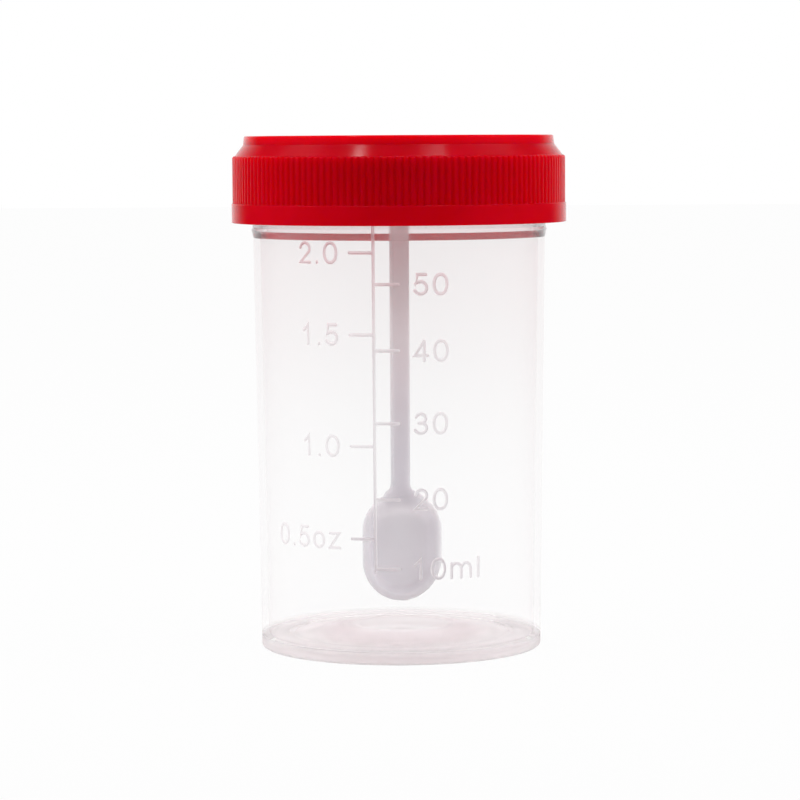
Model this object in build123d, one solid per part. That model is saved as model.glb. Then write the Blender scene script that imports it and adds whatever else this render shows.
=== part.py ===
"""Specimen container of 60 ml: a graduated cup, a ribbed screw lid and a spoon held in the lid.

Millimetres, +Z up.  The origin is the centre of the base plane that the cup stands on,
and -Y is the graduated front.  Three separate mouldings, one STEP file each:
container, screw_cap and spoon.
"""
from build123d import *

import os
from math import atan2, cos, degrees, radians, sin

# ---- cup ----------------------------------------------------------------------------------
CUP_HEIGHT = 67.4          # base plane to the flat rim
BASE_RADIUS = 18.9         # outside, at the base plane
SHOULDER_RADIUS = 19.63    # outside, at the top of the tapered body
NECK_WALL = 0.99           # wall of the neck that the lid screws on
NECK_LENGTH = 10.7         # rim down to the foot of the bead
BEAD_RAISE = 0.24          # bead crest outside the body's shoulder
BEAD_CHAMFER = 1.05        # height of the sloping underside of the bead
BEAD_TOP = 0.55            # height of the bead's run back to the neck
CUP_WALL = 0.9
CUP_RIM_CHAMFER = 0.2      # outer edge of the rim
FOOT_CHAMFER = 0.35        # outer corner at the base plane
FOOT_WIDTH = 1.6           # standing ring, measured inwards from the base radius
FOOT_RECESS = 0.35         # floor underside above the base plane, just inside the ring
FLOOR_THICKNESS = 1.2
FLOOR_CORNER_CHAMFER = 0.45  # inside, wall to floor
FLOOR_SLOPE_RADIUS = 11.5  # where the floor starts to climb towards its middle
FLOOR_SLOPE_RISE = 0.45    # climb from the ring to that circle
FLOOR_DISC_RADIUS = 6.75   # flat raised middle of the floor
FLOOR_DISC_RISE = 0.9      # climb from that circle to the flat middle
GATE_RADIUS = 1.4          # shallow well of the moulding gate under the floor
GATE_DEPTH = 0.3

# ---- moulded graduation on the cup's front --------------------------------------------------
MARK_WIDTH = 0.28
MARK_RAISE = 0.15
MARK_ROOT = 0.3            # how far a mark is rooted in the wall
RULE_OFFSET = 3.26         # upright rule line to the left of the front, along the wall
RULE_FOOT_GAP = 0.14       # rule line below its lowest tick
TICK_LENGTH = 3.2
ML_TICK_HEIGHTS = (12.67, 21.77, 31.69, 41.14, 49.72)   # 10, 20, 30, 40 and 50 ml
OZ_TICK_HEIGHTS = (16.6, 28.7, 43.2, 53.8)              # 0.5, 1, 1.5 and 2 oz

# ---- screw lid -----------------------------------------------------------------------------
CAP_HEIGHT = 11.6
CAP_PLATE = 1.5            # thickness of the top
CAP_WALL = 1.2             # skirt, behind the bottom of the rib grooves
THREAD_ROOM = 1.14         # between the neck and the lid's bore, for both threads
FLANGE_HEIGHT = 2.6        # plain ring under the ribs
FLANGE_LIP = 0.13          # plain ring outside the ribs
RIB_COUNT = 150
RIB_DEPTH = 0.3
RIB_CREST_WIDTH = 0.38     # flat crest; the grooves between the crests are V-shaped
RIB_END_INSET = 0.36       # sloping upper ends of the ribs, measured inwards
RIB_END_HEIGHT = 0.45      # and their height
RIB_END_LEDGE = 0.05       # between the rib ends and the foot of the shoulder
CROWN_INSET = 1.46         # top ring of the lid inside the rib crests, at its foot
CROWN_DRAFT = 0.14
CROWN_HEIGHT = 1.2
CROWN_CHAMFER = 0.2
CONE_HEIGHT = 1.65         # sloping shoulder between the ribs and the top ring
NECK_CLEARANCE = 0.2       # lid's inner shoulder off the neck
PLUG_CLEARANCE = 0.12      # seal ring off the cup's mouth
PLUG_WALL = 0.9
PLUG_LENGTH = 3.2
SOCKET_RADIUS = 3.3        # round boss under the top that holds the spoon
SOCKET_LENGTH = 7.0

# ---- spoon ---------------------------------------------------------------------------------
SPOON_TURN = 15.0          # degrees about +Z from facing the graduated front
SPOON_TIP_GAP = 2.95       # tip of the bowl above the raised middle of the floor
STEM_WIDTH = 2.5
STEM_THICKNESS = 1.75
PEG_SHOULDER = 0.25        # step all round from the stem to the peg
PEG_LENGTH = 5.5
BOWL_LENGTH = 15.3
BOWL_WIDTH = 11.3
BOWL_DEPTH = 2.7
BOWL_WALL = 0.9
BOWL_RIM = 1.0             # flat rim round the hollow
BOWL_SIDE_SLOPE = 1.15     # how far the sides lean in from rim to back
BOWL_TOP_SLOPE = 3.4       # the same at the stem's end, where the bowl ramps up
BOWL_TIP_ARC = 5.75        # length of the curved tip
BOWL_NECK_ARC = 5.4        # length of the curved shoulders
BOWL_BACK_CHAMFER = 0.55
BOWL_FLOOR_CHAMFER = 0.35
STEM_FLARE_ROUND = 0.9     # fillets where the stem meets the bowl

# ---- places worked out from the sizes above ---------------------------------------------------
DISC_Z = FOOT_RECESS + FLOOR_SLOPE_RISE + FLOOR_DISC_RISE
FLOOR_TOP_Z = DISC_Z + FLOOR_THICKNESS
MOUTH_RADIUS = SHOULDER_RADIUS - CUP_WALL
NECK_RADIUS = MOUTH_RADIUS + NECK_WALL
BEAD_RADIUS = SHOULDER_RADIUS + BEAD_RAISE
BEAD_TOP_Z = CUP_HEIGHT - NECK_LENGTH
BEAD_CREST_Z = BEAD_TOP_Z - BEAD_TOP
SHOULDER_Z = BEAD_CREST_Z - BEAD_CHAMFER
RULE_ANGLE = -90 - degrees(RULE_OFFSET / BASE_RADIUS)   # about Z, from +X
CAP_TOP_Z = CUP_HEIGHT + CAP_PLATE
CAP_BOTTOM_Z = CAP_TOP_Z - CAP_HEIGHT
FLANGE_TOP_Z = CAP_BOTTOM_Z + FLANGE_HEIGHT
CROWN_Z = CAP_TOP_Z - CROWN_HEIGHT
RIB_TOP_Z = CROWN_Z - CONE_HEIGHT
CAP_BORE_RADIUS = NECK_RADIUS + THREAD_ROOM
RIB_ROOT_RADIUS = CAP_BORE_RADIUS + CAP_WALL
CAP_RADIUS = RIB_ROOT_RADIUS + RIB_DEPTH   # over the ribs
CROWN_RADIUS = CAP_RADIUS - CROWN_INSET
SOCKET_Z = CUP_HEIGHT - SOCKET_LENGTH
SPOON_TIP_Z = FLOOR_TOP_Z + SPOON_TIP_GAP
BOWL_TOP_Z = SPOON_TIP_Z + BOWL_LENGTH


def turned(outline, corners=()):
    """Solid of revolution about Z from (radius, height) points; corners are (point, chamfer)."""
    section = make_face(Polyline(*outline, close=True))
    for point, size in corners:
        nearest = section.vertices().sort_by_distance(Vertex(*point, 0))[0]
        section = chamfer(nearest, size)
    return revolve(Plane.XZ * section, Axis.Z)


def body_radius(z):
    """Outer radius of the tapered body at height z."""
    return BASE_RADIUS + (SHOULDER_RADIUS - BASE_RADIUS) * z / SHOULDER_Z


def outer_outline(raise_by=0.0, bottom_z=0.0):
    """(radius, height) points up the outside of the cup, moved outwards by raise_by."""
    return [
        (body_radius(bottom_z) + raise_by, bottom_z),
        (SHOULDER_RADIUS + raise_by, SHOULDER_Z),
        (BEAD_RADIUS + raise_by, BEAD_CREST_Z),
        (NECK_RADIUS + raise_by, BEAD_TOP_Z),
    ]


# ---- cup --------------------------------------------------------------------------------------
def cup_shell():
    """Tapered cup with a beaded neck, a standing ring and a floor that climbs to its middle."""
    foot = (BASE_RADIUS, 0)
    floor_corner = (BASE_RADIUS - CUP_WALL, FOOT_RECESS + FLOOR_THICKNESS)
    rim_outside = (NECK_RADIUS, CUP_HEIGHT)
    outline = outer_outline() + [
        rim_outside,
        (MOUTH_RADIUS, CUP_HEIGHT),
        (MOUTH_RADIUS, SHOULDER_Z),
        floor_corner,
        (FLOOR_SLOPE_RADIUS, FLOOR_TOP_Z - FLOOR_DISC_RISE),
        (FLOOR_DISC_RADIUS, FLOOR_TOP_Z),
        (0, FLOOR_TOP_Z),
        (0, DISC_Z + GATE_DEPTH),
        (GATE_RADIUS, DISC_Z + GATE_DEPTH),
        (GATE_RADIUS, DISC_Z),
        (FLOOR_DISC_RADIUS, DISC_Z),
        (BASE_RADIUS - FOOT_WIDTH, FOOT_RECESS),
        (BASE_RADIUS - FOOT_WIDTH, 0),
    ]
    corners = [
        (foot, FOOT_CHAMFER),
        (floor_corner, FLOOR_CORNER_CHAMFER),
        (rim_outside, CUP_RIM_CHAMFER),
    ]
    return turned(outline, corners)


def rule_line():
    """Upright raised line that follows the wall and the bead up under the lid."""
    foot_z = min(ML_TICK_HEIGHTS) - RULE_FOOT_GAP
    outside = outer_outline(MARK_RAISE, foot_z)
    crown = (NECK_RADIUS + MARK_RAISE, CAP_BOTTOM_Z)
    rooted = [(r - MARK_RAISE - MARK_ROOT, z) for r, z in reversed(outside + [crown])]
    strip = make_face(Polyline(*outside, crown, *rooted, close=True))
    blade = extrude(Plane.XZ * strip, MARK_WIDTH / 2, both=True)
    return Rot(0, 0, RULE_ANGLE) * blade


def tick(z, side):
    """Raised tick at height z that runs from the rule line to one side (+1 right, -1 left)."""
    radius = body_radius(z)
    middle = Pos(radius + (MARK_RAISE - MARK_ROOT) / 2, z)
    section = middle * Rectangle(MARK_RAISE + MARK_ROOT, MARK_WIDTH)
    mark = revolve(Plane.XZ * section, Axis.Z, degrees(TICK_LENGTH / radius))
    if side < 0:
        mark = mirror(mark, about=Plane.XZ)
    return Rot(0, 0, RULE_ANGLE) * mark


def make_container():
    """The cup with its graduation in one moulding."""
    ticks = [tick(z, 1) for z in ML_TICK_HEIGHTS] + [tick(z, -1) for z in OZ_TICK_HEIGHTS]
    return cup_shell() + rule_line() + ticks


# ---- lid --------------------------------------------------------------------------------------
def cap_shell():
    """Turned lid without its ribs: flange, skirt, sloping shoulder and top ring, hollow below."""
    lip_radius = CAP_RADIUS + FLANGE_LIP
    core_radius = CAP_RADIUS - RIB_END_INSET - RIB_END_LEDGE
    top_edge = (CROWN_RADIUS - CROWN_DRAFT, CAP_TOP_Z)
    outline = [
        (CAP_BORE_RADIUS, CAP_BOTTOM_Z),
        (lip_radius, CAP_BOTTOM_Z),
        (lip_radius, FLANGE_TOP_Z),
        (core_radius, FLANGE_TOP_Z),
        (core_radius, RIB_TOP_Z),
        (CROWN_RADIUS, CROWN_Z),
        top_edge,
        (0, CAP_TOP_Z),
        (0, CUP_HEIGHT),
        (NECK_RADIUS + NECK_CLEARANCE, CUP_HEIGHT),
        (CAP_BORE_RADIUS, CUP_HEIGHT - CONE_HEIGHT),
    ]
    return turned(outline, [(top_edge, CROWN_CHAMFER)])


def rib_band():
    """Ring of all the ribs, each with its own sloping upper end."""
    pitch = 360 / RIB_COUNT
    crest_half = degrees(RIB_CREST_WIDTH / 2 / CAP_RADIUS)
    corners = []
    for index in range(RIB_COUNT):
        middle = index * pitch
        corners.append(on_circle(CAP_RADIUS, middle - crest_half))
        corners.append(on_circle(CAP_RADIUS, middle + crest_half))
        corners.append(on_circle(RIB_ROOT_RADIUS, middle + pitch / 2))
    ring = make_face(Polyline(*corners, close=True)) - Circle(CAP_BORE_RADIUS + CAP_WALL / 2)
    height = RIB_TOP_Z - FLANGE_TOP_Z
    end_angle = degrees(atan2(RIB_END_INSET, RIB_END_HEIGHT))
    foot_radius = CAP_RADIUS - RIB_END_INSET + height * RIB_END_INSET / RIB_END_HEIGHT
    facets = Rot(0, 0, pitch / 2) * RegularPolygon(foot_radius, RIB_COUNT, major_radius=False)
    ends = extrude(facets, height, taper=end_angle)
    return Pos(0, 0, FLANGE_TOP_Z) * (extrude(ring, height) & ends)


def on_circle(radius, angle):
    """Point in the XY plane at an angle in degrees."""
    return (radius * cos(radians(angle)), radius * sin(radians(angle)))


def plug_ring():
    """Seal ring that goes down inside the cup's mouth."""
    outside = MOUTH_RADIUS - PLUG_CLEARANCE
    inside = outside - PLUG_WALL
    ring = Circle(outside) - Circle(inside)
    return Pos(0, 0, CUP_HEIGHT - PLUG_LENGTH) * extrude(ring, PLUG_LENGTH)


def spoon_socket():
    """Round boss under the top of the lid, before its slot is cut."""
    return Pos(0, 0, SOCKET_Z) * extrude(Circle(SOCKET_RADIUS), SOCKET_LENGTH)


def make_screw_cap():
    """The lid in one moulding: ribbed shell, seal ring and slotted socket."""
    return cap_shell() + rib_band() + plug_ring() + spoon_socket() - spoon_peg()


# ---- spoon ------------------------------------------------------------------------------------
def spoon_peg():
    """Peg of the spoon, which fills the slot in the lid's socket."""
    section = Rectangle(STEM_WIDTH - 2 * PEG_SHOULDER, STEM_THICKNESS - 2 * PEG_SHOULDER)
    return Rot(0, 0, SPOON_TURN) * Pos(0, 0, SOCKET_Z) * extrude(section, PEG_LENGTH)


def bowl_outline(side, tip, neck):
    """Round-ended outline of the bowl, in (x, z), drawn in at the sides, the tip and the neck."""
    half = BOWL_WIDTH / 2 - side
    tip_z = SPOON_TIP_Z + BOWL_TIP_ARC
    neck_z = BOWL_TOP_Z - BOWL_NECK_ARC
    lower = EllipticalCenterArc((0, tip_z), half, BOWL_TIP_ARC - tip, 180, arc_size=180)
    right = Line((half, tip_z), (half, neck_z))
    upper = EllipticalCenterArc((0, neck_z), half, BOWL_NECK_ARC - neck, 0, arc_size=180)
    left = Line((-half, neck_z), (-half, tip_z))
    return make_face([lower, right, upper, left])


def scoop(rim_inset, depth, back_chamfer):
    """Tapered bowl form that starts at the rim plane, drawn in by rim_inset, and ends at depth."""
    front = bowl_outline(rim_inset, rim_inset, rim_inset)
    side = rim_inset + BOWL_SIDE_SLOPE * depth / BOWL_DEPTH
    neck = rim_inset + BOWL_TOP_SLOPE * depth / BOWL_DEPTH
    back = bowl_outline(side, side, neck)
    rim_plane = Plane.XZ.offset(STEM_THICKNESS / 2)
    back_plane = Plane.XZ.offset(STEM_THICKNESS / 2 - depth)
    form = loft([rim_plane * front, back_plane * back], ruled=True)
    back_edges = form.edges().group_by(Axis.Y)[-1]
    return chamfer(back_edges, back_chamfer)


def stem_and_shoulders():
    """Flat stem with its filleted flare into the top of the bowl's outline."""
    stem_height = SOCKET_Z - BOWL_TOP_Z + BOWL_NECK_ARC
    stem = Pos(0, SOCKET_Z - stem_height / 2) * Rectangle(STEM_WIDTH, stem_height)
    cap = bowl_outline(0, 0, 0) & Pos(0, BOWL_TOP_Z) * Rectangle(BOWL_WIDTH, BOWL_NECK_ARC)
    front = stem + cap
    corners = front.vertices().filter_by(is_flare_corner)
    front = fillet(corners, STEM_FLARE_ROUND)
    return extrude(Plane.XZ.offset(-STEM_THICKNESS / 2) * front, STEM_THICKNESS)


def is_flare_corner(vertex):
    """True where the side of the stem runs into the shoulder of the bowl."""
    on_side = abs(abs(vertex.X) - STEM_WIDTH / 2) < 1e-3
    near_top = abs(vertex.Y - BOWL_TOP_Z) < BOWL_NECK_ARC / 4
    return on_side and near_top


def make_spoon():
    """Peg, stem and hollow bowl in one moulding."""
    solid = scoop(0, BOWL_DEPTH, BOWL_BACK_CHAMFER) + stem_and_shoulders()
    solid -= scoop(BOWL_RIM, BOWL_DEPTH - BOWL_WALL, BOWL_FLOOR_CHAMFER)
    return Rot(0, 0, SPOON_TURN) * solid + spoon_peg()


NODES = {
    "container": make_container,
    "screw_cap": make_screw_cap,
    "spoon": make_spoon,
}

os.makedirs("parts", exist_ok=True)
for name, build in NODES.items():
    export_step(build(), f"parts/{name}.step")
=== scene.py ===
"""Looks of a specimen container: rounded mouldings, threads, raised numerals and finishes.

Metres, in the frame of the CAD model: +Z up, -Y the graduated front, the origin in the
middle of the base.  Each visible piece stands for one CAD node.
"""

from math import atan2, ceil, cos, hypot, pi, radians, sin, tan

import bmesh
import bpy
from mathutils import Matrix, Vector


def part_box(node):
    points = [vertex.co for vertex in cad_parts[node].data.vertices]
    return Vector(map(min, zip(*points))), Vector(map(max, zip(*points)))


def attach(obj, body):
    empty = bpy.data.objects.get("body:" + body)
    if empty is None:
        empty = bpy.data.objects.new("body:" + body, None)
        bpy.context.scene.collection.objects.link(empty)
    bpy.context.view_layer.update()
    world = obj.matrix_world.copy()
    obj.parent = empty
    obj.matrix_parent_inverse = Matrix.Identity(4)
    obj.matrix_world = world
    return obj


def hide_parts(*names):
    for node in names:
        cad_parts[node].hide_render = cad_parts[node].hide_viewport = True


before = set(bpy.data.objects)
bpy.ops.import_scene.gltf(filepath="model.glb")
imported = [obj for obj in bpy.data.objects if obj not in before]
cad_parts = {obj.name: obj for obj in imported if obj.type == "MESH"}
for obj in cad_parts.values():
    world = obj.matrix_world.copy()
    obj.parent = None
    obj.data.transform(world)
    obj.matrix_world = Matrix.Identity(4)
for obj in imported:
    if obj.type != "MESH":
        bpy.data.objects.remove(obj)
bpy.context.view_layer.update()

MM = 0.001
TAU = 2 * pi

# ---- sizes: outer ones from the frame, the rest in millimetres -----------------------------------
cup_low, cup_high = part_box("container")
cap_low, cap_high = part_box("screw_cap")

CUP_TOP = cup_high.z
BEAD_RADIUS = (cup_high.x - cup_low.x) / 2
SHOULDER_RADIUS = BEAD_RADIUS - 0.24 * MM
BASE_RADIUS = BEAD_RADIUS - 0.97 * MM
NECK_RADIUS = BEAD_RADIUS - 0.15 * MM
WALL = 0.9 * MM
MOUTH_RADIUS = SHOULDER_RADIUS - WALL
NECK_Z = CUP_TOP - 10.7 * MM
BEAD_Z = NECK_Z - 0.4 * MM
SHOULDER_Z = BEAD_Z - 0.95 * MM

# Base of the cup: a standing ring, a recess below, and a floor that climbs to a flat disc.
STAND_WIDTH = 1.6 * MM
STAND_TAPER = 0.1 * MM
STAND_HEIGHT = 0.35 * MM
UNDERSIDE_Z = 1.7 * MM
GATE_RADIUS = 1.4 * MM          # small well where the plastic was fed in
GATE_DEPTH = 0.3 * MM
FLOOR_EDGE_Z = 1.55 * MM
CLIMB_RADIUS = 11.5 * MM
CLIMB_Z = 2.0 * MM
DISC_RADIUS = 6.75 * MM
DISC_Z = 2.9 * MM

CAP_TOP = cap_high.z
CAP_BOTTOM = cap_low.z
LIP_RADIUS = (cap_high.x - cap_low.x) / 2
LEDGE_Z = CAP_BOTTOM + 2.6 * MM
CROWN_Z = CAP_TOP - 1.2 * MM
CROWN_TAPER = 0.14 * MM

RIB_COUNT = 150
RIB_RADIUS = LIP_RADIUS - 0.13 * MM
RIB_DEPTH = 0.3 * MM
RIB_TOP_Z = CROWN_Z - 1.45 * MM
RIB_END_REACH = 0.36 * MM       # a rib's rounded upper end, out from the cone and down
RIB_END_DROP = 0.4 * MM
GROOVE_END_REACH = 0.06 * MM    # the same for a groove
GROOVE_END_DROP = 0.2 * MM
CROWN_RADIUS = RIB_RADIUS - 1.46 * MM

# Inside of the lid, measured down from the level of the cup's rim.
BORE_RADIUS = RIB_RADIUS - 1.5 * MM
BORE_END = 1.65 * MM
BORE_TOP_RADIUS = NECK_RADIUS + 0.2 * MM
PLUG_RADIUS = MOUTH_RADIUS - 0.12 * MM
PLUG_WALL = 0.9 * MM
PLUG_LENGTH = 3.2 * MM
SOCKET_RADIUS = 3.3 * MM
SOCKET_LENGTH = 7.0 * MM

# Fillets, the first five of them common ones.
CREASE = 0.08 * MM
FINE_EDGE = 0.1 * MM
EDGE = 0.15 * MM
SOFT_EDGE = 0.2 * MM
ROUND_EDGE = 0.3 * MM
CROWN_CORNER = 0.12 * MM
CROWN_EDGE = 0.25 * MM
SOCKET_EDGE = 0.4 * MM
STAND_EDGE = 0.45 * MM
FLOOR_CORNER = 0.6 * MM
DISC_EDGE = 0.8 * MM
BROAD_BEND = 1.5 * MM

THREAD_PITCH = 3.6 * MM
THREAD_RISE = 0.8 * MM          # crest of either thread above its wall
THREAD_FOOT = 0.85 * MM         # half width at the foot of a thread
THREAD_CREST = 0.3 * MM         # half width at its crest
THREAD_TURNS = 1.3
THREAD_START_Z = NECK_Z + 2.9 * MM
THREAD_GAP_Z = 1.9 * MM         # lid's thread below the cup's
THREAD_STEP = 0.16 * MM         # between rows of the mesh where the cup's thread runs
LID_THREAD_STEP = 1.2 * THREAD_STEP
THREAD_FADE = 0.05              # share of a turn over which a thread rises at its ends

MARK_WIDTH = 0.42 * MM
MARK_RAISE = 0.11 * MM
MARK_ROOT = 0.2 * MM            # depth of a stroke's foot inside the wall
TEXT_HEIGHT = 2.95 * MM
RULE_ANGLE = -9.88              # degrees from the front, positive to its right
RULE_TOP_Z = CAP_BOTTOM + 0.2 * MM
TICK_LENGTH = 3.2 * MM
TICK_STEPS = 4
# Each mark's text and its height in millimetres.
ML_MARKS = (("10ml", 12.67), ("20", 21.77), ("30", 31.69), ("40", 41.14), ("50", 49.72))
OZ_MARKS = (("0.5oz", 16.6), ("1.0", 28.7), ("1.5", 43.2), ("2.0", 53.8))
ML_TEXT_ANGLE = 5.1             # where the ml numerals start
OZ_TEXT_ANGLE = -24.0           # where the oz numerals end

HAIR = 0.01 * MM                # too small to see


# ---- mesh helpers -----------------------------------------------------------------------------
def smooth(t):
    """Smooth step from 0 to 1 for t from 0 to 1."""
    t = min(1.0, max(0.0, t))
    return t * t * (3 - 2 * t)


def arc(cx, cy, rx, ry, start, end, steps=10):
    """Points on an ellipse from one angle to another, in degrees."""
    turn = [radians(start + (end - start) * k / steps) for k in range(steps + 1)]
    return [(cx + rx * cos(a), cy + ry * sin(a)) for a in turn]


def rounded(corners, steps=6):
    """Profile of (radius, z) points from corners (radius, z, fillet)."""
    points = []
    for k, (x, y, fillet) in enumerate(corners):
        if not fillet:
            points.append((x, y))
            continue
        here = Vector((x, y))
        back = (Vector(corners[k - 1][:2]) - here).normalized()
        ahead = (Vector(corners[k + 1][:2]) - here).normalized()
        half = back.angle(ahead) / 2
        reach = fillet / tan(half)
        centre = here + (back + ahead).normalized() * fillet / sin(half)
        first = here + back * reach - centre
        last = here + ahead * reach - centre
        start = atan2(first.y, first.x)
        sweep = (atan2(last.y, last.x) - start + pi) % TAU - pi
        for i in range(steps + 1):
            a = start + sweep * i / steps
            points.append((centre.x + fillet * cos(a), centre.y + fillet * sin(a)))
    return points


def with_rows(points, low, high, step):
    """The same profile with extra points where it runs upright between two heights."""
    rows = [points[0]]
    for (r0, z0), (r1, z1) in zip(points, points[1:]):
        upright = abs(r1 - r0) < abs(z1 - z0) / 4
        within = low <= min(z0, z1) and max(z0, z1) <= high
        count = ceil(abs(z1 - z0) / step) if upright and within else 1
        shares = [k / count for k in range(1, count + 1)]
        rows += [(r0 + (r1 - r0) * share, z0 + (z1 - z0) * share) for share in shares]
    return rows


def make_object(name, verts, faces, material=None):
    mesh = bpy.data.meshes.new(name)
    mesh.from_pydata(verts, [], faces)
    mesh.validate()
    thing = bpy.data.objects.new(name, mesh)
    bpy.context.scene.collection.objects.link(thing)
    if material:
        mesh.materials.append(material)
    return thing


def smooth_by_angle(thing, degrees_=32):
    """Smooth shading with sharp edges where the faces turn by more than an angle."""
    mesh = thing.data
    mesh.polygons.foreach_set("use_smooth", [True] * len(mesh.polygons))
    bm = bmesh.new()
    bm.from_mesh(mesh)
    for edge in bm.edges:
        edge.smooth = len(edge.link_faces) == 2 and edge.calc_face_angle(0) < radians(degrees_)
    bm.to_mesh(mesh)
    bm.free()


class Rings:
    """Mesh built from rings of vertices, joined one to the next."""

    def __init__(self):
        self.verts = []
        self.faces = []
        self.last = None

    def ring(self, radius, z, columns, shape=None):
        """Adds a ring and joins it to the last one; radius 0 is a single point on the axis."""
        start = len(self.verts)
        count = columns if radius > 0 else 1
        for k in range(count):
            turn = TAU * k / columns
            r, height = shape(radius, z, turn) if shape else (radius, z)
            self.verts.append((r * cos(turn), r * sin(turn), height))
        here = (start, count)
        if self.last:
            self.join(self.last, here)
        self.last = here

    def join(self, a, b):
        (a0, na), (b0, nb) = a, b
        steps = max(na, nb)
        for k in range(steps):
            i, j = k * na // steps, k * nb // steps
            i1, j1 = (k + 1) * na // steps % na, (k + 1) * nb // steps % nb
            loop = [a0 + i, a0 + i1, b0 + j1, b0 + j]
            face = [v for n, v in enumerate(loop) if v not in loop[:n]]
            if len(face) > 2:
                self.faces.append(face)


def helix_rise(z, turn, start_z):
    """Height of a thread's ridge above its wall, at height z and angle turn."""
    level = (z - start_z) / THREAD_PITCH - turn / TAU
    along = round(level) + turn / TAU
    if not 0 <= along <= THREAD_TURNS:
        return 0.0
    off = abs(level - round(level)) * THREAD_PITCH
    flank = smooth((THREAD_FOOT - off) / (THREAD_FOOT - THREAD_CREST))
    ends = smooth(along / THREAD_FADE) * smooth((THREAD_TURNS - along) / THREAD_FADE)
    return THREAD_RISE * flank * ends


# ---- cup ----------------------------------------------------------------------------------------
CUP_COLUMNS = 240               # of the mesh, round the cup


def cup_profile():
    """Whole section of the cup from the middle of its underside round to its floor."""
    stand = BASE_RADIUS - STAND_WIDTH
    return rounded([
        (0, UNDERSIDE_Z + GATE_DEPTH, 0),
        (GATE_RADIUS, UNDERSIDE_Z + GATE_DEPTH, CREASE),
        (GATE_RADIUS, UNDERSIDE_Z, CREASE),
        (DISC_RADIUS, UNDERSIDE_Z, BROAD_BEND),
        (stand, STAND_HEIGHT, SOFT_EDGE),
        (stand + STAND_TAPER, 0, EDGE),
        (BASE_RADIUS, 0, STAND_EDGE),
        (SHOULDER_RADIUS, SHOULDER_Z, ROUND_EDGE),
        (BEAD_RADIUS, BEAD_Z, EDGE),
        (NECK_RADIUS, NECK_Z, EDGE),
        (NECK_RADIUS, CUP_TOP, SOFT_EDGE),
        (MOUTH_RADIUS, CUP_TOP, SOFT_EDGE),
        (MOUTH_RADIUS, SHOULDER_Z, 0),
        (BASE_RADIUS - WALL, FLOOR_EDGE_Z, FLOOR_CORNER),
        (CLIMB_RADIUS, CLIMB_Z, BROAD_BEND),
        (DISC_RADIUS, DISC_Z, DISC_EDGE),
        (0, DISC_Z, 0),
    ])


def neck_thread(radius, z, turn):
    if radius < NECK_RADIUS - HAIR:
        return radius, z
    return radius + helix_rise(z, turn, THREAD_START_Z), z


def cup_body():
    """Turned cup with its neck thread, before the graduation is joined to it."""
    rings = Rings()
    for radius, z in with_rows(cup_profile(), NECK_Z - FINE_EDGE, CUP_TOP, THREAD_STEP):
        rings.ring(radius, z, CUP_COLUMNS, neck_thread)
    return make_object("cup", rings.verts, rings.faces)


def wall_radius(z):
    """Outside of the cup at height z, over the tapered body, the bead and the neck."""
    stops = [(0, BASE_RADIUS), (SHOULDER_Z, SHOULDER_RADIUS), (BEAD_Z, BEAD_RADIUS), (NECK_Z, NECK_RADIUS)]
    for (z0, r0), (z1, r1) in zip(stops, stops[1:]):
        if z <= z1:
            return r0 + (r1 - r0) * (z - z0) / (z1 - z0)
    return NECK_RADIUS


def on_wall(across, z, out):
    """Point at a distance across from the front along the wall, at height z, out from it."""
    radius = wall_radius(z)
    turn = across / SHOULDER_RADIUS
    return Vector(((radius + out) * sin(turn), -(radius + out) * cos(turn), z))


STROKE_END = ((0.0, 0.25), (0.35, 0.76), (0.7, 0.95))    # along and across, in half widths


def stroke(points, closed=False):
    """One raised line with a half-round section, along (across, z) points on the wall."""
    half = MARK_WIDTH / 2
    path = [Vector(p) for p in points]
    scale = [1.0] * len(path)
    if not closed:
        start = (path[0] - path[1]).normalized()
        end = (path[-1] - path[-2]).normalized()
        path = [path[0] + start * half * (1 - along) for along, _ in STROKE_END] + path
        path += [path[-1] + end * half * (1 - along) for along, _ in reversed(STROKE_END)]
        ends = [across for _, across in STROKE_END]
        scale = ends + scale + ends[::-1]
    section = [(-1, -MARK_ROOT)]
    section += [(-cos(radians(a)), MARK_RAISE * sin(radians(a))) for a in range(0, 181, 30)]
    section += [(1, -MARK_ROOT)]
    verts, count = [], len(path)
    for k, point in enumerate(path):
        before = path[k - 1] if k or closed else point
        after = path[(k + 1) % count] if k < count - 1 or closed else point
        into = (point - before).normalized() if before != point else (after - point).normalized()
        out = (after - point).normalized() if after != point else into
        along = (into + out).normalized()
        side = Vector((along.y, -along.x))
        mitre = half * scale[k] / max(0.5, into.dot(along))
        for across, rise in section:
            spot = point + side * across * mitre
            verts.append(on_wall(spot.x, spot.y, rise * scale[k] if rise > 0 else rise))
    n = len(section)
    faces = []
    for k in range(count if closed else count - 1):
        a, b = k * n, (k + 1) % count * n
        faces += [(a + i, a + (i + 1) % n, b + (i + 1) % n, b + i) for i in range(n)]
    if not closed:
        faces += [tuple(reversed(range(n))), tuple(range((count - 1) * n, count * n))]
    return verts, faces


def oval(cx, cy, rx, ry):
    """Closed oval with slightly straight sides."""
    points = []
    for k in range(28):
        a = TAU * k / 28
        x, y = cos(a), sin(a)
        points.append((cx + rx * abs(x) ** 0.85 * (1 if x > 0 else -1), cy + ry * y))
    return points


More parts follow.
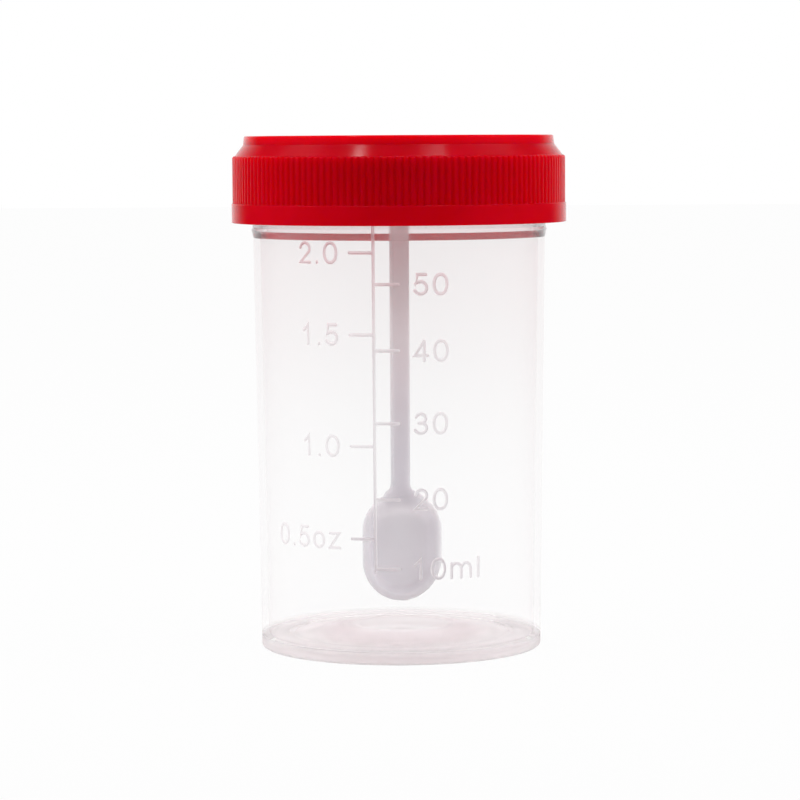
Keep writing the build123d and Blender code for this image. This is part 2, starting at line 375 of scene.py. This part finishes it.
LOWER = 0.74                    # height of the small letters
GLYPHS = {                      # width, then strokes, in heights of a numeral
    "0": (0.69, [("closed", oval(0.345, 0.5, 0.345, 0.5))]),
    "1": (0.51, [("open", [(0.0, 0.72), (0.16, 0.84), (0.28, 1.0), (0.28, 0.0)])]),
    "2": (0.62, [("open", arc(0.31, 0.7, 0.3, 0.3, 170, -30) + [(0.0, 0.0), (0.62, 0.0)])]),
    "3": (0.62, [("open", arc(0.3, 0.76, 0.26, 0.24, 160, -88) + [(0.2, 0.53)]),
                 ("open", [(0.2, 0.53)] + arc(0.3, 0.265, 0.32, 0.265, 88, -160))]),
    "4": (0.66, [("open", [(0.49, 1.0), (0.0, 0.25), (0.66, 0.25)]),
                 ("open", [(0.49, 1.0), (0.49, 0.0)])]),
    "5": (0.64, [("open", [(0.58, 1.0), (0.14, 1.0), (0.06, 0.5)]
                  + arc(0.31, 0.32, 0.33, 0.32, 140, -155))]),
    ".": (0.14, [("open", [(0.07, 0.0), (0.07, 0.02)])]),
    "m": (1.21, [("open", [(0.0, LOWER), (0.0, 0.0)]),
                 ("open", [(0.0, 0.44)] + arc(0.28, 0.44, 0.28, 0.3, 165, 0) + [(0.56, 0.0)]),
                 ("open", [(0.56, 0.44)] + arc(0.84, 0.44, 0.28, 0.3, 165, 0) + [(1.12, 0.0)])]),
    "l": (0.0, [("open", [(0.0, 1.0), (0.0, 0.0)])]),
    "o": (0.62, [("closed", oval(0.31, LOWER / 2, 0.31, LOWER / 2))]),
    "z": (0.57, [("open", [(0.02, LOWER), (0.55, LOWER), (0.0, 0.0), (0.57, 0.0)])]),
}
GLYPH_GAP = 0.38                # between numerals


def text_strokes(text, z, start=None, end=None):
    """Strokes of a line of text centred at height z, from start or up to end, in degrees."""
    height = TEXT_HEIGHT - MARK_WIDTH
    total = sum(GLYPHS[c][0] for c in text) + GLYPH_GAP * (len(text) - 1)
    if start is None:
        left = radians(end) * SHOULDER_RADIUS - total * height - MARK_WIDTH / 2
    else:
        left = radians(start) * SHOULDER_RADIUS + MARK_WIDTH / 2
    found = []
    for c in text:
        width, strokes = GLYPHS[c]
        for kind, points in strokes:
            path = [(left + x * height, z + (y - 0.5) * height) for x, y in points]
            found.append(stroke(path, kind == "closed"))
        left += (width + GLYPH_GAP) * height
    return found


def tick(start, length, z):
    """Level stroke from start along the wall, to the left where length is negative."""
    return stroke([(start + length * k / TICK_STEPS, z) for k in range(TICK_STEPS + 1)])


def graduation():
    """Rule line, ticks and numerals as one mesh of closed raised strokes."""
    rule = radians(RULE_ANGLE) * SHOULDER_RADIUS
    foot = ML_MARKS[0][1] * MM - MARK_WIDTH / 2
    shoulder = [SHOULDER_Z - FINE_EDGE, SHOULDER_Z + ROUND_EDGE]
    bead = [BEAD_Z - SOFT_EDGE, BEAD_Z, NECK_Z, NECK_Z + ROUND_EDGE]
    levels = [foot, (foot + SHOULDER_Z) / 2, *shoulder, *bead, RULE_TOP_Z]
    parts = [stroke([(rule, z) for z in levels])]
    for text, z in ML_MARKS:
        parts.append(tick(rule, TICK_LENGTH, z * MM))
        parts += text_strokes(text, z * MM, start=ML_TEXT_ANGLE)
    for text, z in OZ_MARKS:
        parts.append(tick(rule, -TICK_LENGTH, z * MM))
        parts += text_strokes(text, z * MM, end=OZ_TEXT_ANGLE)
    verts, faces = [], []
    for some, loops in parts:
        base = len(verts)
        verts += [tuple(v) for v in some]
        faces += [tuple(base + i for i in loop) for loop in loops]
    return make_object("graduation", verts, faces)


def join_solids(thing, other):
    """Makes thing the union of itself and other, and deletes other."""
    change = thing.modifiers.new("union", "BOOLEAN")
    change.operation = "UNION"
    change.solver = "EXACT"
    change.use_self = True
    change.object = other
    change.material_mode = "TRANSFER"
    bpy.context.view_layer.update()
    depsgraph = bpy.context.evaluated_depsgraph_get()
    mesh = bpy.data.meshes.new_from_object(thing.evaluated_get(depsgraph))
    thing.modifiers.clear()
    old = thing.data
    thing.data = mesh
    bpy.data.meshes.remove(old)
    bpy.data.objects.remove(other)


def outward(thing):
    bm = bmesh.new()
    bm.from_mesh(thing.data)
    bmesh.ops.recalc_face_normals(bm, faces=bm.faces)
    bm.to_mesh(thing.data)
    bm.free()


def settle_wall_normals(cup):
    """Gives both faces of the tapered wall their exact normals, also where marks cut them."""
    mesh = cup.data
    taper = (SHOULDER_RADIUS - BASE_RADIUS) / SHOULDER_Z
    normals = [Vector(corner.vector) for corner in mesh.corner_normals]
    for face in mesh.polygons:
        radius = hypot(face.center.x, face.center.y)
        upright = abs(face.normal.z) < 0.1
        on_body = DISC_Z + ROUND_EDGE < face.center.z < SHOULDER_Z - SOFT_EDGE
        if face.material_index or not (upright and on_body):
            continue
        side = 1 if face.normal.x * face.center.x + face.normal.y * face.center.y > 0 else -1
        for corner in face.loop_indices:
            spot = mesh.vertices[mesh.loops[corner].vertex_index].co
            normals[corner] = side * Vector((spot.x, spot.y, -taper * radius)).normalized()
    mesh.normals_split_custom_set(normals)


def make_cup(material, mark_material):
    cup = cup_body()
    cup.data.materials.append(material)
    outward(cup)
    marks = graduation()
    marks.data.materials.append(mark_material)
    outward(marks)
    join_solids(cup, marks)
    smooth_by_angle(cup)
    settle_wall_normals(cup)
    return cup


# ---- lid ----------------------------------------------------------------------------------------
RIB_COLUMNS = 10                # of the mesh, to each rib
FINE_COLUMNS = RIB_COUNT * RIB_COLUMNS
COARSE_COLUMNS = FINE_COLUMNS // 5
RIB_END_STEPS = 6
RIB_END_TURN = 88               # degrees, of the rounding from the cone to a rib
GROOVE_START = 0.42             # of half a rib's pitch, from the middle of its crest
GROOVE_SLOPE = 0.5              # of half a rib's pitch, over which the crest falls to the groove


def rib_shape(crest, root):
    """Ring shape that waves between a rib's crest and the root of a groove, both (radius, z)."""
    def shape(radius, z, turn):
        phase = turn * RIB_COUNT / TAU % 1
        off = abs(phase - 0.5) * 2
        groove = smooth((off - GROOVE_START) / GROOVE_SLOPE)
        return tuple(c + (g - c) * groove for c, g in zip(crest, root))
    return shape


def bore_thread(radius, z, turn):
    if abs(radius - BORE_RADIUS) > HAIR or z > CUP_TOP - BORE_END:
        return radius, z
    return radius - helix_rise(z, turn, THREAD_START_Z - THREAD_GAP_Z), z


def lid_top(cone_foot):
    """Section of the lid from the middle of its top down the cone to the ribs."""
    return rounded([
        (0, CAP_TOP, 0),
        (CROWN_RADIUS - CROWN_TAPER, CAP_TOP, CROWN_EDGE),
        (CROWN_RADIUS, CROWN_Z, CROWN_CORNER),
        (cone_foot - 4 * HAIR, RIB_TOP_Z + 6 * HAIR, 0),
        (cone_foot, RIB_TOP_Z, 0),
    ])


def lid_inside():
    """Section from the plain ring at the lid's foot up its bore and in to its middle."""
    profile = rounded([
        (RIB_RADIUS, LEDGE_Z, 0),
        (LIP_RADIUS, LEDGE_Z, FINE_EDGE),
        (LIP_RADIUS, CAP_BOTTOM, CREASE),
        (BORE_RADIUS, CAP_BOTTOM, EDGE),
        (BORE_RADIUS, CUP_TOP - BORE_END, SOFT_EDGE),
        (BORE_TOP_RADIUS, CUP_TOP, FINE_EDGE),
        (PLUG_RADIUS, CUP_TOP, FINE_EDGE),
        (PLUG_RADIUS, CUP_TOP - PLUG_LENGTH, ROUND_EDGE),
        (PLUG_RADIUS - PLUG_WALL, CUP_TOP - PLUG_LENGTH, SOFT_EDGE),
        (PLUG_RADIUS - PLUG_WALL, CUP_TOP, ROUND_EDGE),
        (SOCKET_RADIUS, CUP_TOP, SOCKET_EDGE),
        (SOCKET_RADIUS, CUP_TOP - SOCKET_LENGTH, ROUND_EDGE),
        (0, CUP_TOP - SOCKET_LENGTH, 0),
    ])
    return with_rows(profile[1:], CAP_BOTTOM, CUP_TOP, LID_THREAD_STEP)


def lid_rings():
    """Rings of the lid from the middle of its top, over the ribs and round to its inside."""
    rings = Rings()
    cone_foot = RIB_RADIUS - RIB_END_REACH
    for radius, z in lid_top(cone_foot):
        rings.ring(radius, z, COARSE_COLUMNS)
    for k in range(RIB_END_STEPS + 1):
        a = radians(RIB_END_TURN * (1 - k / RIB_END_STEPS))
        crest = (cone_foot + RIB_END_REACH * cos(a), RIB_TOP_Z - RIB_END_DROP * (1 - sin(a)))
        root = (cone_foot + GROOVE_END_REACH * cos(a), RIB_TOP_Z - GROOVE_END_DROP * (1 - sin(a)))
        rings.ring(*crest, FINE_COLUMNS, rib_shape(crest, root))
    root_radius = RIB_RADIUS - RIB_DEPTH
    for z in (LEDGE_Z + 12 * HAIR, LEDGE_Z + 3 * HAIR):
        rings.ring(RIB_RADIUS, z, FINE_COLUMNS, rib_shape((RIB_RADIUS, z), (root_radius, z)))
    ledge = rib_shape((RIB_RADIUS + HAIR, LEDGE_Z), (root_radius + 2 * HAIR, LEDGE_Z))
    rings.ring(RIB_RADIUS, LEDGE_Z, FINE_COLUMNS, ledge)
    for radius, z in lid_inside():
        rings.ring(radius, z, COARSE_COLUMNS, bore_thread)
    return rings


def make_lid(material):
    rings = lid_rings()
    lid = make_object("lid", rings.verts, rings.faces, material)
    outward(lid)
    smooth_by_angle(lid, 50)
    return lid


# ---- spoon --------------------------------------------------------------------------------------
SPOON_TURN = Matrix.Rotation(radians(15), 4, "Z")
STEM_WIDTH = 2.5 * MM
STEM_THICKNESS = 1.75 * MM
BOWL_LENGTH = 15.3 * MM
BOWL_WIDTH = 11.3 * MM
BOWL_DEPTH = 2.7 * MM
BOWL_SIDE_SLOPE = 1.15 * MM
BOWL_TOP_SLOPE = 3.4 * MM
BOWL_NECK_ARC = 5.4 * MM
BOWL_NECK_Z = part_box("spoon")[0].z + BOWL_LENGTH - BOWL_NECK_ARC
FLARE_START = 0.8 * MM          # outside the stem, where the shoulders begin to lean
FLARE_WIDTH = 1.5 * MM          # over which they come to lean fully
VOXEL = 0.16 * MM
RELAX_ROUNDS = 24


def lean_shoulder(place):
    """Draws a point of the shoulders in, away from the stem, to the leaning side of the bowl."""
    at = SPOON_TURN.inverted() @ place
    depth = (at.y + STEM_THICKNESS / 2) / BOWL_DEPTH
    half = BOWL_WIDTH / 2 - BOWL_SIDE_SLOPE * depth
    arc_height = BOWL_NECK_ARC - BOWL_TOP_SLOPE * depth
    outside = hypot(at.x / half, (at.z - BOWL_NECK_Z) / arc_height)
    if at.z < BOWL_NECK_Z or outside < 1:
        return place
    away = smooth((abs(at.x) - STEM_WIDTH / 2 - FLARE_START) / FLARE_WIDTH)
    drawn = 1 + away * (1 / outside - 1)
    return SPOON_TURN @ Vector((at.x * drawn, at.y, BOWL_NECK_Z + (at.z - BOWL_NECK_Z) * drawn))


def make_spoon(material):
    """Softly rounded copy of the CAD spoon: remeshed finely, then its edges are relaxed."""
    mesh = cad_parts["spoon"].data.copy()
    spoon = bpy.data.objects.new("spoon_soft", mesh)
    bpy.context.scene.collection.objects.link(spoon)
    bm = bmesh.new()
    bm.from_mesh(mesh)
    bmesh.ops.remove_doubles(bm, verts=bm.verts, dist=0.001 * MM)
    for vert in bm.verts:
        vert.co = lean_shoulder(vert.co)
    bm.to_mesh(mesh)
    bm.free()
    remesh = spoon.modifiers.new("remesh", "REMESH")
    remesh.mode = "VOXEL"
    remesh.voxel_size = VOXEL
    relax = spoon.modifiers.new("relax", "SMOOTH")
    relax.factor = 0.5
    relax.iterations = RELAX_ROUNDS
    bpy.context.view_layer.update()
    depsgraph = bpy.context.evaluated_depsgraph_get()
    soft = bpy.data.meshes.new_from_object(spoon.evaluated_get(depsgraph))
    spoon.modifiers.clear()
    spoon.data = soft
    soft.polygons.foreach_set("use_smooth", [True] * len(soft.polygons))
    soft.materials.clear()
    soft.materials.append(material)
    return spoon


# ---- materials: colours come in pairs, a first and a second shade of soft mottling ---------------
PLASTIC_IOR = 1.49

# Heights between which a colour turns from its lower pair to its upper one. These turns are painted light
# and shade: a painted red glow of the lid higher up, painted shade lower down.
WALL_PAINTED_GLOW = (25 * MM, 60 * MM)
THICK_PAINTED_SHADE = (20 * MM, 50 * MM)
MARK_PAINTED_GLOW = (38 * MM, 58 * MM)
SPOON_PAINTED_LIGHT = (24 * MM, 54 * MM)

# Heights or radii between which a value of the clear plastic changes, then its two ends.
FOOT_ZONE = (1.2 * MM, 2.8 * MM, 1.0, 0.0)
FOOT_ROUGHNESS = (5 * MM, 7 * MM, 0.5, 0.1)
STAND_DENSITY = (0.6 * MM, 2.6 * MM, 0.76, 0.0)
# Where these two meet, the floor's ring is more opaque and shows the darker foot colour: haze, and a
# painted shade.
DISC_HAZE_AND_SHADE = (DISC_RADIUS - 1.25 * MM, DISC_RADIUS + 1.25 * MM, 0.45, 0.95)
OUTER_HAZE_AND_SHADE = (DISC_RADIUS + 1.25 * MM, 17 * MM, 1.0, 0.15)
# The veil thickens upward, so more of the wall's painted red glow shows near the lid.
VEIL = (15 * MM, 55 * MM, 0.018, 0.06)

FLOOR_ZONE_Z = DISC_Z + 2.1 * MM
NECK_ZONE_Z = SHOULDER_Z - 0.05 * MM
ASLANT_HAZE = 0.15
ASLANT_POWER = 4.0
FOOT_CLEARNESS = 0.62
NECK_CLEARNESS = 0.9
RED_CLEARNESS = 0.15


def principled(name, **inputs):
    material = bpy.data.materials.new(name)
    material.use_nodes = True
    shader = material.node_tree.nodes["Principled BSDF"]
    for key, value in inputs.items():
        shader.inputs[key.replace("_", " ")].default_value = value
    return material, material.node_tree, shader


def mottled(tree, first, second, size):
    """Two near colours mixed by soft noise of a given size."""
    place = tree.nodes.new("ShaderNodeTexCoord")
    noise = tree.nodes.new("ShaderNodeTexNoise")
    noise.inputs["Scale"].default_value = 1 / size
    noise.inputs["Detail"].default_value = 2.0
    ramp = tree.nodes.new("ShaderNodeValToRGB")
    ramp.color_ramp.elements[0].position = 0.3
    ramp.color_ramp.elements[0].color = (*first, 1)
    ramp.color_ramp.elements[1].position = 0.7
    ramp.color_ramp.elements[1].color = (*second, 1)
    tree.links.new(place.outputs["Object"], noise.inputs["Vector"])
    tree.links.new(noise.outputs["Fac"], ramp.inputs["Fac"])
    return ramp.outputs["Color"]


def ease(tree, value, low, high, first, last):
    """Output that eases from first to last as a value goes from low to high."""
    step = tree.nodes.new("ShaderNodeMapRange")
    step.interpolation_type = "SMOOTHSTEP"
    for socket, limit in zip(step.inputs[1:5], (low, high, first, last)):
        socket.default_value = limit
    tree.links.new(value, step.inputs["Value"])
    return step.outputs["Result"]


def object_height(tree):
    """Height of a point above the object's base."""
    place = tree.nodes.new("ShaderNodeTexCoord")
    split = tree.nodes.new("ShaderNodeSeparateXYZ")
    tree.links.new(place.outputs["Object"], split.inputs[0])
    return split.outputs["Z"]


def combine(tree, kind, first, second):
    """Output of a Math node on two numbers or sockets."""
    step = tree.nodes.new("ShaderNodeMath")
    step.operation = kind
    for socket, value in zip(step.inputs, (first, second)):
        if isinstance(value, float):
            socket.default_value = value
        else:
            tree.links.new(value, socket)
    return step.outputs[0]


def mixed(tree, share, first, last):
    """First colour where share is 0, last where it is 1."""
    blend = tree.nodes.new("ShaderNodeMix")
    blend.data_type = "RGBA"
    tree.links.new(share, blend.inputs["Factor"])
    tree.links.new(first, blend.inputs["A"])
    tree.links.new(last, blend.inputs["B"])
    return blend.outputs["Result"]


def mottled_by_height(tree, heights, first, last, size):
    """One mottled pair of colours below the first of two heights, and another above the second."""
    share = ease(tree, object_height(tree), *heights, 0.0, 1.0)
    return mixed(tree, share, mottled(tree, *first, size), mottled(tree, *last, size))


def axis_distance(tree):
    """Distance of a point from the object's own axis."""
    place = tree.nodes.new("ShaderNodeTexCoord")
    flat = tree.nodes.new("ShaderNodeVectorMath")
    flat.operation = "MULTIPLY"
    flat.inputs[1].default_value = (1, 1, 0)
    span = tree.nodes.new("ShaderNodeVectorMath")
    span.operation = "LENGTH"
    tree.links.new(place.outputs["Object"], flat.inputs[0])
    tree.links.new(flat.outputs["Vector"], span.inputs[0])
    return span.outputs["Value"]


def clear_colour(tree, thick):
    """Colour of the clear plastic, with painted light: the thin wall pinker near the lid, a painted red
    glow of the lid, and the thick foot darker than the neck, a painted shade.
    """
    wall_low = ((0.965, 0.885, 0.90), (0.98, 0.91, 0.925))
    # The upper wall colours are a painted red glow of the lid, not a colour of the plastic.
    wall_lid_glow_painted = ((0.93, 0.70, 0.73), (0.95, 0.74, 0.77))
    # The foot colours are darker as a painted shade; the neck colours are lighter.
    foot = ((0.92, 0.845, 0.86), (0.935, 0.865, 0.88))
    neck = ((0.985, 0.94, 0.945), (0.995, 0.955, 0.96))
    size = 9 * MM
    thin_wall = mottled_by_height(tree, WALL_PAINTED_GLOW, wall_low, wall_lid_glow_painted, size)
    thick_parts = mottled_by_height(tree, THICK_PAINTED_SHADE, foot, neck, size)
    return mixed(tree, thick, thin_wall, thick_parts)


def clear_haze(tree, height):
    """Share of the light that the thin wall holds back, more of it where it is seen aslant."""
    slant = tree.nodes.new("ShaderNodeLayerWeight")
    slant.inputs["Blend"].default_value = 0.5
    edge = combine(tree, "POWER", slant.outputs["Facing"], ASLANT_POWER)
    veil = ease(tree, height, *VEIL)
    return combine(tree, "ADD", veil, combine(tree, "MULTIPLY", edge, ASLANT_HAZE))


def clear_plastic():
    """Clear plastic with a faint haze: the thin wall lets light straight through, while the
    thick floor and neck bend it."""
    material, tree, shader = principled("clear_plastic", IOR=PLASTIC_IOR)
    height = object_height(tree)
    from_axis = axis_distance(tree)
    within_wall = combine(tree, "LESS_THAN", from_axis, BASE_RADIUS - 1.2 * WALL)
    low_down = combine(tree, "LESS_THAN", height, FLOOR_ZONE_Z)
    floor_zone = combine(tree, "MULTIPLY", within_wall, low_down)
    foot = combine(tree, "MAXIMUM", floor_zone, ease(tree, height, *FOOT_ZONE))
    neck = combine(tree, "GREATER_THAN", height, NECK_ZONE_Z)

    colour = clear_colour(tree, combine(tree, "MAXIMUM", foot, neck))
    tree.links.new(colour, shader.inputs["Base Color"])

    through_foot = combine(tree, "MULTIPLY", foot, FOOT_CLEARNESS)
    through_neck = combine(tree, "MULTIPLY", neck, NECK_CLEARNESS)
    clear = combine(tree, "ADD", through_foot, through_neck)
    tree.links.new(clear, shader.inputs["Transmission Weight"])

    tree.links.new(ease(tree, height, *FOOT_ROUGHNESS), shader.inputs["Roughness"])

    # More opaque ring round the floor's disc: haze, and a painted shade through the darker foot colour.
    disc = ease(tree, from_axis, *DISC_HAZE_AND_SHADE)
    outwards = ease(tree, from_axis, *OUTER_HAZE_AND_SHADE)
    on_floor = combine(tree, "MULTIPLY", floor_zone, combine(tree, "MULTIPLY", disc, outwards))
    on_foot = combine(tree, "MAXIMUM", ease(tree, height, *STAND_DENSITY), on_floor)
    dense = combine(tree, "MAXIMUM", on_foot, neck)
    haze = clear_haze(tree, height)
    tree.links.new(combine(tree, "MAXIMUM", dense, haze), shader.inputs["Alpha"])
    return material


def mark_plastic():
    """The same plastic with the matt skin of the raised graduation, pinker near the lid: a painted red
    glow of the lid.
    """
    material, tree, shader = principled(
        "clear_plastic_marks", Roughness=0.45, IOR=PLASTIC_IOR, Transmission_Weight=0.7)
    low = ((0.93, 0.87, 0.89), (0.95, 0.90, 0.92))
    # Upper mark colours: a painted red glow of the lid.
    high = ((0.93, 0.62, 0.66), (0.95, 0.66, 0.70))
    colour = mottled_by_height(tree, MARK_PAINTED_GLOW, low, high, 4 * MM)
    tree.links.new(colour, shader.inputs["Base Color"])
    return material


def red_plastic():
    """Red plastic that lets some light into its skin; its inside is painted brighter, a painted glow of
    light coming through the red wall.
    """
    material, tree, shader = principled(
        "red_plastic", Roughness=0.14, IOR=PLASTIC_IOR, Subsurface_Weight=1.0,
        Subsurface_Radius=(1.0, 0.04, 0.04), Subsurface_Scale=5 * MM)
    in_bore = combine(tree, "LESS_THAN", axis_distance(tree), BORE_RADIUS + FINE_EDGE)
    under_top = combine(tree, "LESS_THAN", object_height(tree), CUP_TOP + FINE_EDGE)
    inside = combine(tree, "MULTIPLY", in_bore, under_top)
    outside = combine(tree, "SUBTRACT", 1.0, inside)
    through = combine(tree, "MULTIPLY", outside, RED_CLEARNESS)
    tree.links.new(through, shader.inputs["Transmission Weight"])
    size = 6 * MM
    skin = mottled(tree, (0.68, 0.0, 0.009), (0.74, 0.0, 0.013), size)
    # Brighter red inside the bore and under the top: a painted glow, not a lighter plastic.
    painted_inner_glow = mottled(tree, (0.96, 0.06, 0.09), (0.99, 0.08, 0.12), size)
    tree.links.new(mixed(tree, inside, skin, painted_inner_glow), shader.inputs["Base Color"])
    return material


def natural_plastic():
    """Milky plastic of the spoon, with painted light: the bowl painted grey as shade, the stem painted
    lighter and pinker under the lid as a red glow of the lid.
    """
    material, tree, shader = principled(
        "natural_plastic", Roughness=0.45, IOR=PLASTIC_IOR, Subsurface_Weight=0.8,
        Subsurface_Radius=(1.0, 0.9, 0.93), Subsurface_Scale=6 * MM)
    # Bowl colours: a painted shade over white plastic.
    bowl = ((0.57, 0.56, 0.60), (0.61, 0.60, 0.64))
    # Stem colours: a painted red glow of the lid, lighter to lift the shade under the lid.
    stem = ((0.96, 0.82, 0.85), (0.99, 0.86, 0.89))
    colour = mottled_by_height(tree, SPOON_PAINTED_LIGHT, bowl, stem, 5 * MM)
    tree.links.new(colour, shader.inputs["Base Color"])
    return material


# ---- stage --------------------------------------------------------------------------------------
MIRRORED = (0.6, 1.1, 0.01, 1.0)        # what gloss mirrors: dark in front, white behind
AMBIENT = (-0.8, 0.0, 0.1, 1.0)         # light from all round, least from low in front
AMBIENT_AXIS = (0, 0.8, 0.6)
SHADOWLESS = 0.96                       # share of the floor's white that no shadow reaches
FLOOR_HALF = 3.0
FLOOR_TONE = (-0.25, -0.04, 0.06, 0.52)         # its own colour, from far in front to the cup
WHITE = (1, 1, 1, 1)

CONE_MIDDLE = Vector((0, 0, RIB_TOP_Z))
GLINT_DISTANCE = 0.5
GLINTS = (                              # direction from the lid's cone, size, power
    ("glint_left", (-0.37, -0.372, 0.852), (0.05, 0.12), 0.13),
    ("glint_right", (0.31, -0.406, 0.86), (0.14, 0.12), 0.09),
)
SIDE_LAMPS = (("side_left", (-0.5, 0, 0.45)), ("side_right", (0.5, 0, 0.45)))
SIDE_LAMP_SIZE = (0.4, 0.4)
SIDE_LAMP_POWER = 1.85

LENS = 143.33
CAMERA_PLACE = (0, -0.42947, 0.06791)
CAMERA_PITCH = radians(90) - 0.0806     # level, less a slight look down
CAMERA_ROLL = -0.0057


def seen_rays(tree, path):
    """1 for what the camera sees directly or through clear plastic."""
    return combine(tree, "MAXIMUM", path.outputs["Is Camera Ray"], path.outputs["Is Transmission Ray"])


def mix_shaders(tree, share, first, last):
    blend = tree.nodes.new("ShaderNodeMixShader")
    tree.links.new(share, blend.inputs["Fac"])
    tree.links.new(first, blend.inputs[1])
    tree.links.new(last, blend.inputs[2])
    return blend.outputs[0]


def background(tree, strength):
    """White light of the world, of a fixed strength or one from a socket."""
    light = tree.nodes.new("ShaderNodeBackground")
    light.inputs["Color"].default_value = WHITE
    if isinstance(strength, float):
        light.inputs["Strength"].default_value = strength
    else:
        tree.links.new(strength, light.inputs["Strength"])
    return light.outputs[0]


def world_along(tree, axis, limits):
    """Value that eases between limits with the direction's share along an axis of the scene."""
    place = tree.nodes.new("ShaderNodeTexCoord")
    along = tree.nodes.new("ShaderNodeVectorMath")
    along.operation = "DOT_PRODUCT"
    along.inputs[1].default_value = axis
    tree.links.new(place.outputs["Generated"], along.inputs[0])
    return ease(tree, along.outputs["Value"], *limits)


def make_world():
    """White where it is seen directly or through clear plastic; a studio dark in front else."""
    world = bpy.data.worlds.new("studio")
    bpy.context.scene.world = world
    world.use_nodes = True
    tree = world.node_tree
    tree.nodes.clear()
    reflected = background(tree, world_along(tree, (0, 1, 0), MIRRORED))
    ambient = background(tree, world_along(tree, AMBIENT_AXIS, AMBIENT))
    path = tree.nodes.new("ShaderNodeLightPath")
    unseen = mix_shaders(tree, path.outputs["Is Glossy Ray"], ambient, reflected)
    final = mix_shaders(tree, seen_rays(tree, path), unseen, background(tree, 1.0))
    output = tree.nodes.new("ShaderNodeOutputWorld")
    tree.links.new(final, output.inputs["Surface"])


def depth_along_y(tree, vector):
    split = tree.nodes.new("ShaderNodeSeparateXYZ")
    tree.links.new(vector, split.inputs[0])
    return split.outputs["Y"]


def floor_material():
    """White where it is seen, with a soft shadow; toned down far in front where it lights."""
    material = bpy.data.materials.new("pale_floor")
    material.use_nodes = True
    tree = material.node_tree
    nodes, links = tree.nodes, tree.links
    nodes.clear()
    place = nodes.new("ShaderNodeTexCoord").outputs["Object"]
    heading = nodes.new("ShaderNodeVectorMath")
    heading.operation = "NORMALIZE"
    links.new(place, heading.inputs[0])
    path = nodes.new("ShaderNodeLightPath")
    seen = seen_rays(tree, path)

    matte = nodes.new("ShaderNodeBsdfDiffuse")
    links.new(ease(tree, depth_along_y(tree, place), *FLOOR_TONE), matte.inputs["Color"])
    glow = nodes.new("ShaderNodeEmission")
    glow.inputs["Color"].default_value = WHITE
    mirrored = ease(tree, depth_along_y(tree, heading.outputs["Vector"]), *MIRRORED)
    links.new(combine(tree, "MAXIMUM", seen, mirrored), glow.inputs["Strength"])

    seen_share = combine(tree, "MULTIPLY", seen, SHADOWLESS)
    share = combine(tree, "MAXIMUM", seen_share, path.outputs["Is Glossy Ray"])
    output = nodes.new("ShaderNodeOutputMaterial")
    links.new(mix_shaders(tree, share, matte.outputs[0], glow.outputs[0]), output.inputs["Surface"])
    return material


def make_floor():
    half = FLOOR_HALF
    corners = [(-half, -half, 0), (half, -half, 0), (half, half, 0), (-half, half, 0)]
    floor_plane = make_object("floor", corners, [(0, 1, 2, 3)], floor_material())


def area_light(name, place, size, power, reflected=True):
    """Lamp that looks at the lid's cone, and shows in its gloss if it is reflected."""
    data = bpy.data.lights.new(name, "AREA")
    data.shape = "RECTANGLE"
    data.size, data.size_y = size
    data.energy = power
    lamp = bpy.data.objects.new(name, data)
    lamp.visible_glossy = reflected
    lamp.location = place
    lamp.rotation_euler = (CONE_MIDDLE - Vector(place)).to_track_quat("-Z", "Y").to_euler()
    bpy.context.scene.collection.objects.link(lamp)


def make_lamps():
    for name, direction, size, power in GLINTS:
        area_light(name, CONE_MIDDLE + GLINT_DISTANCE * Vector(direction), size, power)
    for name, place in SIDE_LAMPS:
        area_light(name, place, SIDE_LAMP_SIZE, SIDE_LAMP_POWER, reflected=False)


def make_camera():
    data = bpy.data.cameras.new("camera")
    data.sensor_width = 36.0
    data.lens = LENS
    data.clip_start = 0.01
    data.clip_end = 20.0
    camera = bpy.data.objects.new("camera", data)
    turn = Matrix.Rotation(CAMERA_PITCH, 4, "X") @ Matrix.Rotation(CAMERA_ROLL, 4, "Z")
    camera.matrix_world = Matrix.Translation(CAMERA_PLACE) @ turn
    bpy.context.scene.collection.objects.link(camera)
    bpy.context.scene.camera = camera


# ---- scene --------------------------------------------------------------------------------------
scene = bpy.context.scene
scene.view_settings.view_transform = "Standard"
scene.cycles.max_bounces = 20
scene.cycles.transmission_bounces = 20
scene.cycles.glossy_bounces = 14

cup = make_cup(clear_plastic(), mark_plastic())
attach(cup, "cup")
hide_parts("container")

lid = make_lid(red_plastic())
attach(lid, "lid")
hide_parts("screw_cap")

spoon = make_spoon(natural_plastic())
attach(spoon, "lid")
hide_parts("spoon")

make_world()
make_floor()
make_lamps()
make_camera()
